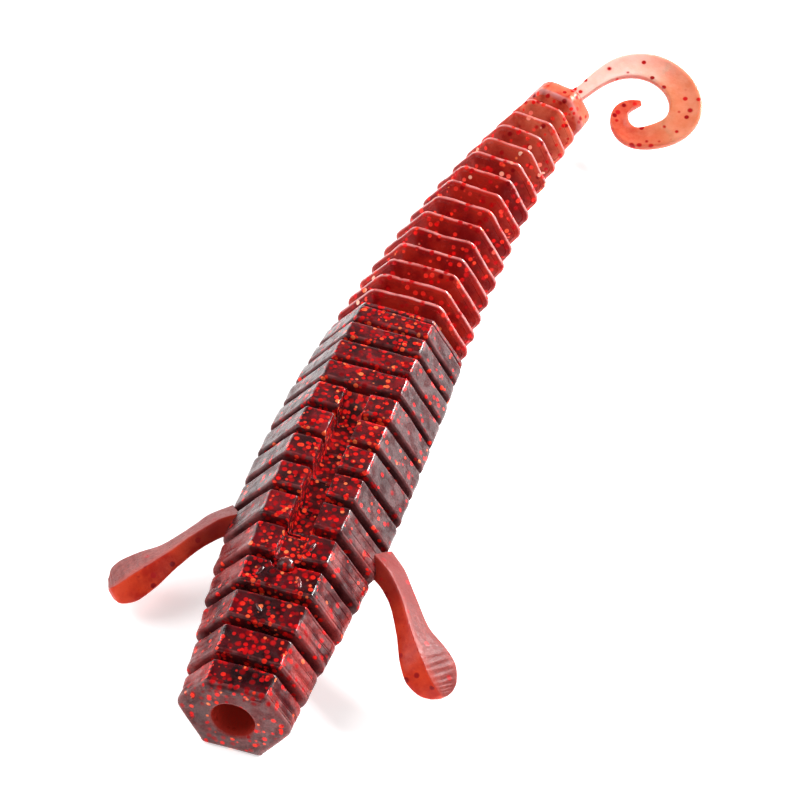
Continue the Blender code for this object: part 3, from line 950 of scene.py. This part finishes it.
# Stations (outwards, back, up, width, thickness) from the hinge in the neck, root first.
LEG_SHAPE = {
    "left": [
        (-2.9, 3.0, 0.7, 3.4, 2.2),
        (-1.65, 2.1, 0.5, 2.9, 2.1),
        (-0.9, 1.2, 0.3, 2.5, 2.0),
        (0.0, 0.0, 0.0, 2.4, 2.0),
        (1.1, -1.3, -0.6, 2.9, 2.0),
        (2.3, -2.4, -1.25, 4.2, 2.3),
        (3.4, -3.3, -1.9, 4.8, 2.4),
        (4.1, -3.9, -2.35, 4.1, 2.0),
        (4.45, -4.15, -2.6, 2.8, 1.4),
        (4.6, -4.25, -2.7, 1.3, 0.7),
    ],
    "right": [
        (-3.1, 3.1, 0.7, 3.4, 2.2),
        (-1.85, 2.2, 0.5, 2.9, 2.1),
        (-1.0, 1.3, 0.3, 2.5, 2.0),
        (0.0, 0.0, 0.0, 2.4, 2.0),
        (1.2, -1.8, -0.5, 2.9, 2.0),
        (2.45, -3.3, -1.0, 4.3, 2.3),
        (3.35, -4.2, -1.6, 4.8, 2.4),
        (4.1, -4.95, -2.15, 3.8, 2.0),
        (4.5, -5.35, -2.4, 2.3, 1.3),
        (4.65, -5.5, -2.5, 1.0, 0.6),
    ],
}

# Curl: a ribbon in a plane that rises from the cap.
TAIL_LIFT = math.radians(20.0)
TAIL_ROOT_HEIGHT = 2.6
TAIL_STEPS = 8
TAIL_SHARP_ANGLE = 60.0
# Points (right, back, width) in that plane, from inside the cap to the tip. Places along the
# ribbon are counted in points of this line.
TAIL_LINE = [
    (0.1, -0.6, 1.9),
    (0.2, 0.75, 1.6),
    (1.0, 2.2, 1.3),
    (1.7, 4.1, 1.6),
    (3.0, 6.1, 2.3),
    (5.3, 7.2, 2.8),
    (8.0, 6.7, 2.9),
    (10.0, 4.9, 3.0),
    (10.4, 2.5, 2.8),
    (9.0, 0.6, 2.5),
    (7.15, -0.35, 2.0),
    (5.5, 0.5, 1.75),
    (5.1, 2.2, 1.35),
    (6.5, 3.5, 0.3),
]
# Name, first and last place, place of the hinge, and the bodies before and after it.
TAIL_SPANS = [
    ("tail_stem_skin", 0.0, 2.5, 1.0, "rear_7", "tail_stem"),
    ("tail_curl_outer_skin", 2.5, 5.5, 4.0, "tail_stem", "tail_curl_outer"),
    ("tail_curl_inner_skin", 5.5, 8.5, 7.0, "tail_curl_outer", "tail_curl_inner"),
    ("tail_tip_skin", 8.5, 13.0, 10.0, "tail_curl_inner", "tail_tip"),
]
# Half of the ribbon's section: (share of half the width, share of half the thickness).
TAIL_SECTION = [
    (1.0, 0.0),
    (0.99, 0.4),
    (0.95, 0.8),
    (0.88, 0.95),
    (0.72, 0.9),
    (0.45, 0.66),
    (0.0, 0.58),
]
TAIL_THICKNESS = 0.66
TAIL_THICKNESS_SHARE = 0.8
# How far along the line the points beside a hinge lie, the places that soft_value
# averages, and how far apart two points are that tell its direction.
TAIL_BEND_SHARE = 0.3
SOFT_OFFSETS = (-0.4, -0.2, 0.0, 0.2, 0.4)
HEADING_STEP = 0.05


def smooth_value(points, at):
    """Catmull-Rom value at a place counted in points."""
    last = len(points) - 1
    index = max(0, min(last - 1, int(at)))
    t = at - index
    before = points[max(index - 1, 0)]
    after = points[min(index + 2, last)]
    here, there = points[index], points[index + 1]
    slope0 = (there - before) / (2.0 if index > 0 else 1.0)
    slope1 = (after - here) / (2.0 if index + 2 <= last else 1.0)
    blend = here * (2 * t**3 - 3 * t**2 + 1) + there * (3 * t**2 - 2 * t**3)
    return (blend + slope0 * (t**3 - 2 * t**2 + t) + slope1 * (t**3 - t**2)).tolist()


def soft_value(points, at):
    """Mean of the smooth values around a place, which evens out the bends at the points."""
    last = len(points) - 1
    places = [min(float(last), max(0.0, at + offset)) for offset in SOFT_OFFSETS]
    rows = np.array([smooth_value(points, place) for place in places])
    return rows.mean(axis=0).tolist()


def joint_place(name):
    """Where a joint is, in millimetres."""
    for joint in frame["record"]["behaviour"]["joints"]:
        if joint["name"] == name:
            return Vector(joint["pos_m"]) / MM
    raise KeyError(name)


def upper_share(corner, step):
    """How far a point of a corner's arc belongs to the upper side of the leg."""
    if corner == 0:
        return 1.0 if step > 1 else 0.0
    return 0.6 if corner == 1 and step < 3 else 0.0


def leg_section(width, thickness, groove):
    """Lozenge with soft corners in (across, up), its ridge off the middle, and its upper side."""
    corners = [
        Vector((width / 2, -0.05 * thickness)),
        Vector((LEG_RIDGE * width, thickness / 2)),
        Vector((-width / 2, 0.0)),
        Vector((-0.1 * width, -thickness / 2)),
    ]
    radii = (0.1 * thickness, 0.06 * thickness, 0.1 * thickness, 0.3 * thickness)
    ring = []
    upper = []
    for k in range(4):
        here, after = corners[k], corners[(k + 1) % 4]
        arc = rounded_corner(corners[k - 1], here, after, radii[k], LEG_CORNER_STEPS)
        ring.extend(arc)
        upper.extend([upper_share(k, step) for step in range(len(arc))])
        following = rounded_corner(here, after, corners[(k + 2) % 4], radii[(k + 1) % 4], 1)[0]
        for share in (0.25, 0.5, 0.75):
            point = arc[-1].lerp(following, share)
            if k == 0:
                outward = Vector((after.y - here.y, here.x - after.x)).normalized()
                point -= outward * groove * math.sin(math.pi * share)
            ring.append(point)
            upper.append(float(k == 0))
    return ring, np.array(upper)


def make_leg(hand, side, surface):
    """Leg from inside the body side to its tip, through the thin neck."""
    hinge = joint_place(f"leg_{hand}_swing")
    table = np.array(LEG_SHAPE[hand])
    count = (len(table) - 1) * LEG_STEPS
    rows = [smooth_value(table, k / LEG_STEPS) for k in range(count + 1)]
    centres = [hinge + Vector((side * row[0], row[1], row[2])) for row in rows]
    skin = Skin("upper", "root")
    for k, row in enumerate(rows):
        ahead = centres[min(k + 1, count)]
        behind = centres[max(k - 1, 0)]
        along = (ahead - behind).normalized()
        level = Vector((along.x, along.y, 0.0)).normalized()
        across = Vector((-level.y, level.x, 0.0)) * side
        up = along.cross(across) * side
        out = k / count
        paddle = fade(out, 0.50, 0.58) * fade(out, 0.96, 0.86)
        groove = LEG_LINE_DEPTH * paddle * (0.5 + 0.5 * math.cos(math.tau * k / LEG_LINE_STEPS))
        flat, upper = leg_section(row[3], row[4], groove)
        ring = [centres[k] + across * point.x + up * point.y for point in flat]
        # root sets the painted shade near the body.
        skin.add(ring, upper=upper, root=fade(out, 0.45, 0.25))
    made = build(f"leg_{hand}_skin", skin, surface, LEG_SHARP_ANGLE)
    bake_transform(made)
    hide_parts(f"leg_root_{hand}", f"leg_{hand}")


def tail_point(at):
    """Centre of the ribbon, its direction, the way up and its width at a place on the line."""
    table = np.array(TAIL_LINE)
    row = soft_value(table, at)
    ahead = soft_value(table, at + HEADING_STEP)
    behind = soft_value(table, at - HEADING_STEP)
    cap = SEGMENTS["tail_cap"]
    right = Vector(cap.across)
    back = Vector(cap.along) * math.cos(TAIL_LIFT) + Vector((0.0, 0.0, math.sin(TAIL_LIFT)))
    root = cap.point(cap.length, 0.0, TAIL_ROOT_HEIGHT)
    direction = right * (ahead[0] - behind[0]) + back * (ahead[1] - behind[1])
    return root + right * row[0] + back * row[1], direction.normalized(), right.cross(back), row[2]


def ribbon_ring(at):
    """Ring of the ribbon's section, and how near each point is to an edge, most at the inner."""
    centre, direction, up, width = tail_point(at)
    across = direction.cross(up)
    upper = TAIL_SECTION + [(-a, b) for a, b in reversed(TAIL_SECTION[:-1])]
    shape = upper + [(a, -b) for a, b in reversed(upper[1:-1])]
    thickness = min(TAIL_THICKNESS, TAIL_THICKNESS_SHARE * width)
    ring = []
    edge = []
    for a, b in shape:
        ring.append(centre + across * (a * width / 2) + up * (b * thickness / 2))
        edge.append(fade(a, 0.9, 0.99) + 0.4 * fade(-a, 0.9, 1.0))
    return ring, np.array(edge)


def make_tail(surface):
    last = len(TAIL_LINE) - 1
    for name, start, end, hinge, before, after in TAIL_SPANS:
        skin = Skin("along", "edge")
        for k in range(round((end - start) * TAIL_STEPS) + 1):
            at = start + k / TAIL_STEPS
            ring, edge = ribbon_ring(at)
            skin.add(ring, along=at / last, edge=edge)
        made = build(name, skin, surface, TAIL_SHARP_ANGLE)
        near = tail_point(hinge - TAIL_BEND_SHARE)[0] * MM
        far = tail_point(hinge + TAIL_BEND_SHARE)[0] * MM
        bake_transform(made)
        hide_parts(after)


make_body()
legs = leg_gel()
make_leg("left", -1, legs)
make_leg("right", 1, legs)
make_tail(tail_gel())


# ---------------------------------------------------------------- studio

# In metres and watts: name, place, what it points at, size and power.
LIGHTS = [
    ("left_top", (-0.30, -0.02, 0.30), (0.0, 0.02, 0.0), (0.30, 0.30), 1.5),
    ("right_top", (0.34, -0.06, 0.28), (0.0, 0.02, 0.0), (0.30, 0.30), 0.65),
    ("right_rear", (0.34, 0.30, 0.05), (0.0, 0.02, 0.0), (0.45, 0.16), 0.8),
    ("left_rear", (-0.32, 0.32, 0.06), (0.0, 0.02, 0.0), (0.40, 0.16), 0.6),
    ("glint", (0.21, 0.30, 0.20), (0.0, 0.0, 0.0), (0.24, 0.06), 3.2),
]
FLOOR_HALF = 1.5
FLOOR_DROP = 0.00002
LENS_MM = 135.0
SENSOR_MM = 36.0
CAMERA_PLACE = (0.03783, -0.15650, 0.16465)
CAMERA_TURN = (46.99, -4.427, 16.016)


def area_light(name, place, aim, size, power):
    data = bpy.data.lights.new(name, "AREA")
    data.shape = "RECTANGLE"
    data.size, data.size_y = size
    data.energy = power
    lamp = bpy.data.objects.new(name, data)
    bpy.context.scene.collection.objects.link(lamp)
    lamp.location = place
    lamp.rotation_euler = (Vector(aim) - Vector(place)).to_track_quat("-Z", "Y").to_euler()
    lamp.visible_camera = False


def make_floor():
    material = bpy.data.materials.new("pale_floor")
    g = Graph(material)
    shader = g.node(
        "ShaderNodeBsdfPrincipled",
        {
            "Base Color": (0.86, 0.86, 0.86, 1.0),
            "Roughness": 0.8,
            "Emission Color": (1.0, 1.0, 1.0, 1.0),
            "Emission Strength": 0.5,
        },
    )
    out = g.node("ShaderNodeOutputMaterial")
    g.tree.links.new(shader.outputs[0], out.inputs[0])
    mesh = bpy.data.meshes.new("floor")
    sides = [(-1, -1), (1, -1), (1, 1), (-1, 1)]
    corners = [(x * FLOOR_HALF, y * FLOOR_HALF, 0.0) for x, y in sides]
    mesh.from_pydata(corners, [], [(0, 1, 2, 3)])
    mesh.materials.append(material)
    floor = bpy.data.objects.new("floor", mesh)
    bpy.context.scene.collection.objects.link(floor)
    floor.location.z = -FLOOR_DROP


def make_world():
    """White surroundings, from the floor up to the level, that darken overhead."""
    world = bpy.data.worlds.new("studio")
    bpy.context.scene.world = world
    world.use_nodes = True
    tree = world.node_tree
    place = tree.nodes.new("ShaderNodeTexCoord")
    parts = tree.nodes.new("ShaderNodeSeparateXYZ")
    ramp = tree.nodes.new("ShaderNodeValToRGB")
    background = tree.nodes["Background"]
    tree.links.new(place.outputs["Generated"], parts.inputs[0])
    tree.links.new(parts.outputs[2], ramp.inputs[0])
    tree.links.new(ramp.outputs[0], background.inputs["Color"])
    ramp.color_ramp.elements[0].position = 0.0
    ramp.color_ramp.elements[0].color = (1.0, 1.0, 1.0, 1.0)
    ramp.color_ramp.elements[1].position = 0.55
    ramp.color_ramp.elements[1].color = (0.12, 0.12, 0.12, 1.0)
    background.inputs["Strength"].default_value = 1.0


def make_camera():
    data = bpy.data.cameras.new("camera")
    data.lens = LENS_MM
    data.sensor_width = SENSOR_MM
    camera = bpy.data.objects.new("camera", data)
    bpy.context.scene.collection.objects.link(camera)
    camera.location = CAMERA_PLACE
    camera.rotation_euler = Euler([math.radians(angle) for angle in CAMERA_TURN])
    bpy.context.scene.camera = camera


make_floor()
make_world()
for light in LIGHTS:
    area_light(*light)
make_camera()
bpy.context.scene.view_settings.view_transform = "Standard"
